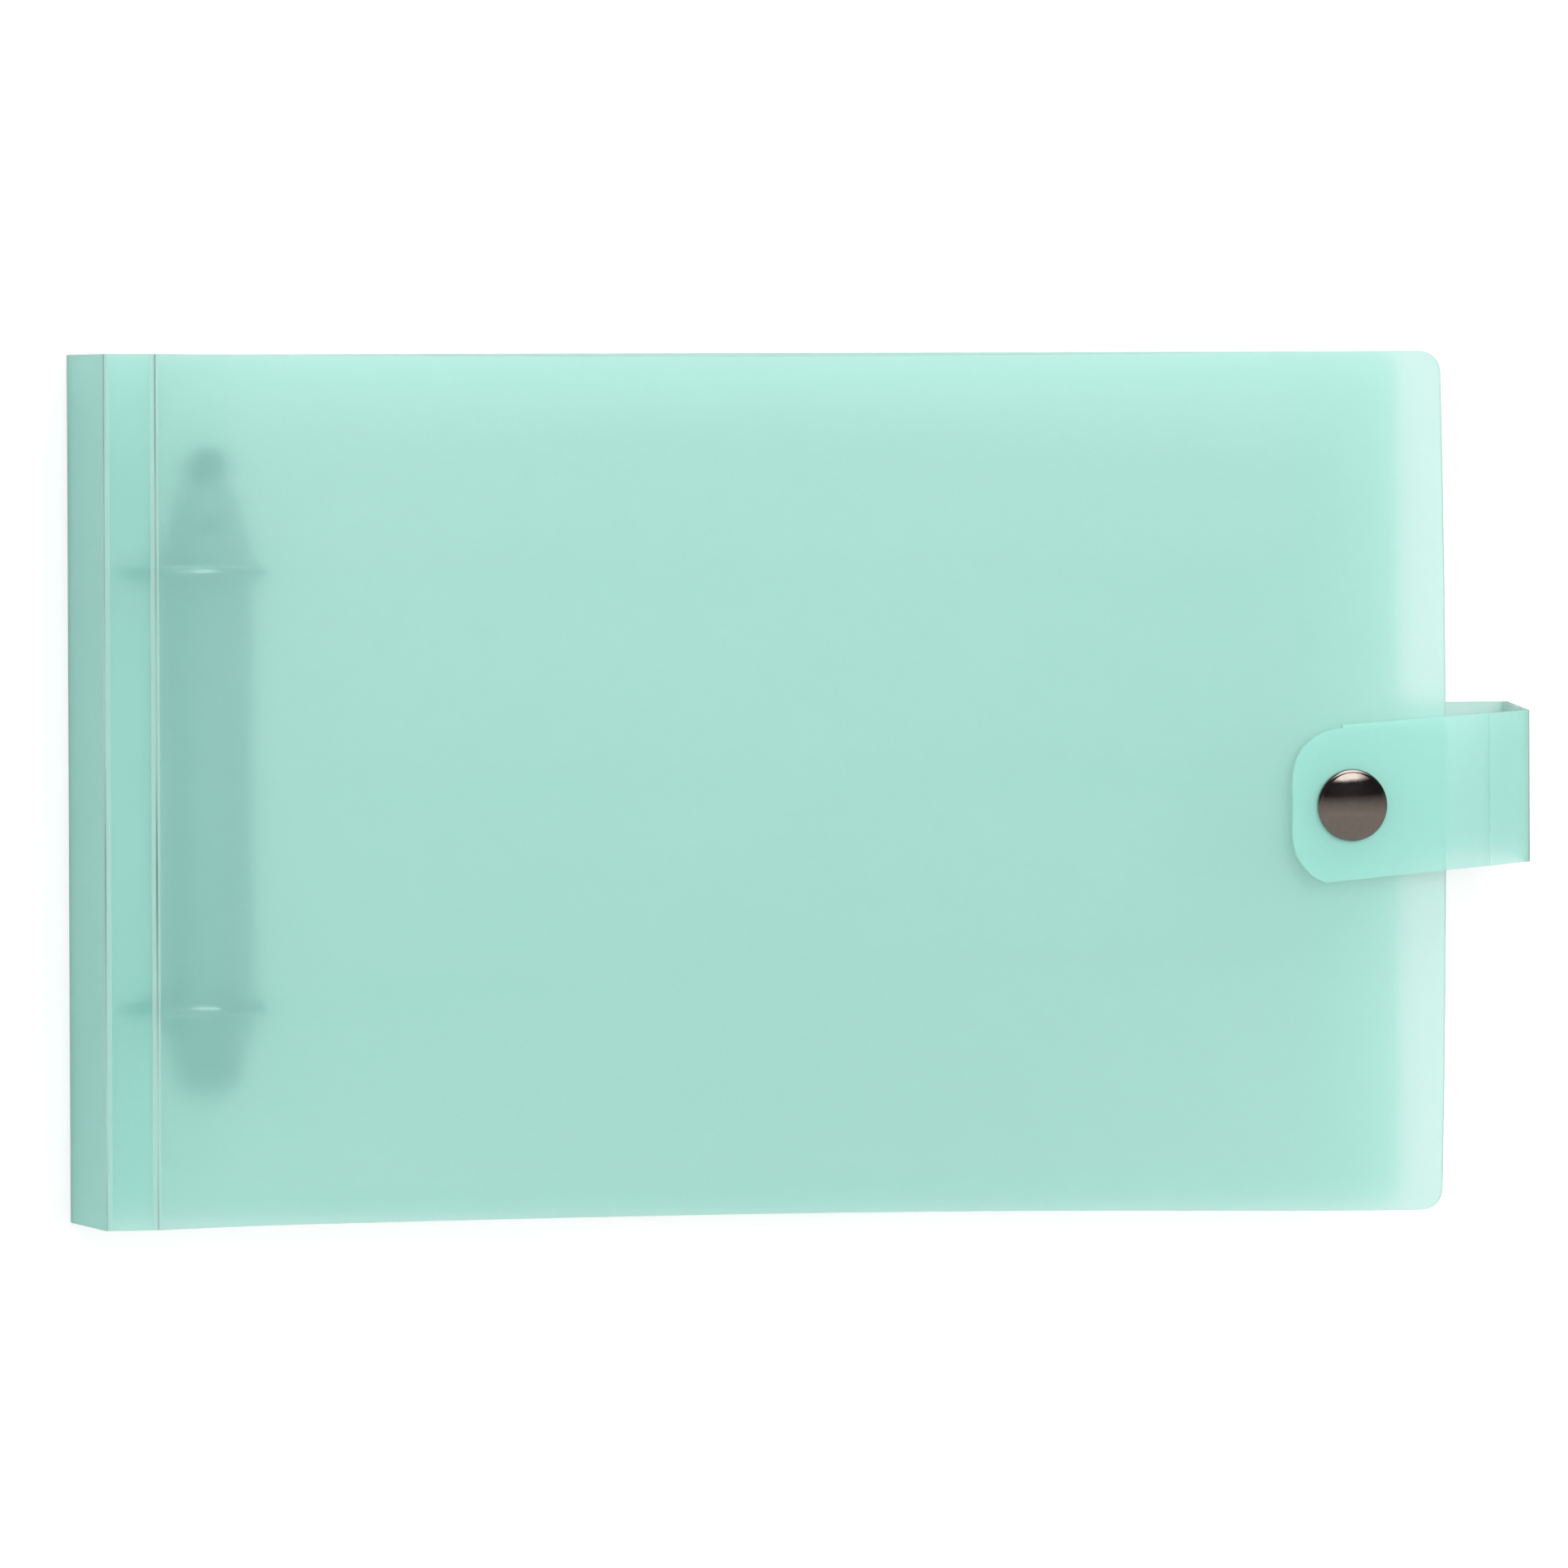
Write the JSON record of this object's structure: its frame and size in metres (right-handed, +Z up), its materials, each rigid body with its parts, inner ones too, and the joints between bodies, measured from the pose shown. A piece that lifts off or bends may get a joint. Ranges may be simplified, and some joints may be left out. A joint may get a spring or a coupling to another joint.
{
  "type": "stamp album",
  "caption": "Landscape ring album in frosted polypropylene sheet, with a wraparound cover, a press-snap strap and clear pocket leaves on opening rings.",
  "frame": {"origin": "on the table under the middle of the shut album's box, including the strap", "axes": "+X from the spine to the strap, along the longest side; +Y to the edge with the opening lever; +Z up through the front cover"},
  "size_m": [0.2754, 0.16, 0.0398],
  "materials": {
    "cover_sheet": "frosted translucent mint polypropylene sheet with a fine satin grain",
    "mechanism_steel": "sheet steel with a dark satin plating",
    "ring_wire": "round wire with a dark satin plating",
    "snap_cap_metal": "polished gunmetal plating",
    "snap_metal": "gunmetal-plated brass",
    "leaf_film": "clear polypropylene film",
    "pocket_film": "clear pocket strips"
  },
  "bodies": {
    "back": {"back_cover": "cover_sheet", "strap_base": "cover_sheet", "ring_housing": "mechanism_steel", "rivet_upper": "mechanism_steel", "rivet_lower": "mechanism_steel", "lever_pin": "mechanism_steel"},
    "spine": {"spine_panel": "cover_sheet"},
    "front_strip": {"front_hinge_strip": "cover_sheet"},
    "front": {"front_cover": "cover_sheet", "snap_stud": "snap_metal", "snap_post": "snap_metal"},
    "strap_wall": {"strap_wall": "cover_sheet"},
    "strap_flap": {"strap_flap": "cover_sheet", "snap_cap": "snap_cap_metal", "snap_socket": "snap_metal"},
    "ring_left": {"ring_blade_left": "mechanism_steel", "half_ring_upper_left": "ring_wire", "half_ring_lower_left": "ring_wire"},
    "ring_right": {"ring_blade_right": "mechanism_steel", "half_ring_upper_right": "ring_wire", "half_ring_lower_right": "ring_wire"},
    "lever": {"opening_lever": "mechanism_steel"},
    "leaf_1": {"leaf_1": "leaf_film", "leaf_1_strips": "pocket_film"},
    "leaf_2": {"leaf_2": "leaf_film", "leaf_2_strips": "pocket_film"},
    "leaf_3": {"leaf_3": "leaf_film", "leaf_3_strips": "pocket_film"}
  },
  "joints": [
    {"name": "spine_fold", "type": "hinge", "parent": "back", "child": "spine", "pos_m": [-0.13735, 0, 0.0004], "axis": [0, -1, 0], "range_deg": [0, 90]},
    {"name": "front_strip_fold", "type": "hinge", "parent": "spine", "child": "front_strip", "pos_m": [-0.13735, 0, 0.0336], "axis": [0, -1, 0], "range_deg": [0, 75.01]},
    {"name": "front_cover_fold", "type": "hinge", "parent": "front_strip", "child": "front", "pos_m": [-0.12835, 0, 0.0336], "axis": [0, -1, 0], "range_deg": [0, 15.01]},
    {"name": "strap_wall_fold", "type": "hinge", "parent": "back", "child": "strap_wall", "pos_m": [0.13735, 0, 0.0004], "axis": [0, 1, 0], "range_deg": [0, 98]},
    {"name": "strap_flap_fold", "type": "hinge", "parent": "strap_wall", "child": "strap_flap", "pos_m": [0.13105, 0, 0.0373], "axis": [0, 1, 0], "range_deg": [0, 80]},
    {"name": "ring_left_open", "type": "hinge", "parent": "back", "child": "ring_left", "pos_m": [-0.11955, 0, 0.00165], "axis": [0, -1, 0], "range_deg": [0, 11]},
    {"name": "ring_right_open", "type": "hinge", "parent": "back", "child": "ring_right", "pos_m": [-0.10515, 0, 0.00165], "axis": [0, 1, 0], "range_deg": [0, 11.01]},
    {"name": "lever_press", "type": "hinge", "parent": "back", "child": "lever", "pos_m": [-0.11235, 0.0534, 0.0025], "axis": [-1, 0, 0], "range_deg": [0, 20.01]},
    {"name": "leaf_1_turn", "type": "hinge", "parent": "back", "child": "leaf_1", "pos_m": [-0.11745, 0, 0.01575], "axis": [0, -1, 0], "range_deg": [0, 167.41]},
    {"name": "leaf_2_turn", "type": "hinge", "parent": "back", "child": "leaf_2", "pos_m": [-0.11745, 0, 0.01575], "axis": [0, -1, 0], "range_deg": [0, 173.71]},
    {"name": "leaf_3_turn", "type": "hinge", "parent": "back", "child": "leaf_3", "pos_m": [-0.11745, 0, 0.01575], "axis": [0, -1, 0], "range_deg": [0, 180.01]}
  ],
  "couplings": [
    {"joint": "front_strip_fold", "follows": "spine_fold", "ratio": 0.83333},
    {"joint": "front_cover_fold", "follows": "spine_fold", "ratio": 0.16667},
    {"joint": "ring_right_open", "follows": "ring_left_open", "ratio": 1},
    {"joint": "lever_press", "follows": "ring_left_open", "ratio": 1.8182},
    {"joint": "leaf_1_turn", "follows": "spine_fold", "ratio": 1.86},
    {"joint": "leaf_2_turn", "follows": "spine_fold", "ratio": 1.93},
    {"joint": "leaf_3_turn", "follows": "spine_fold", "ratio": 2}
  ]
}
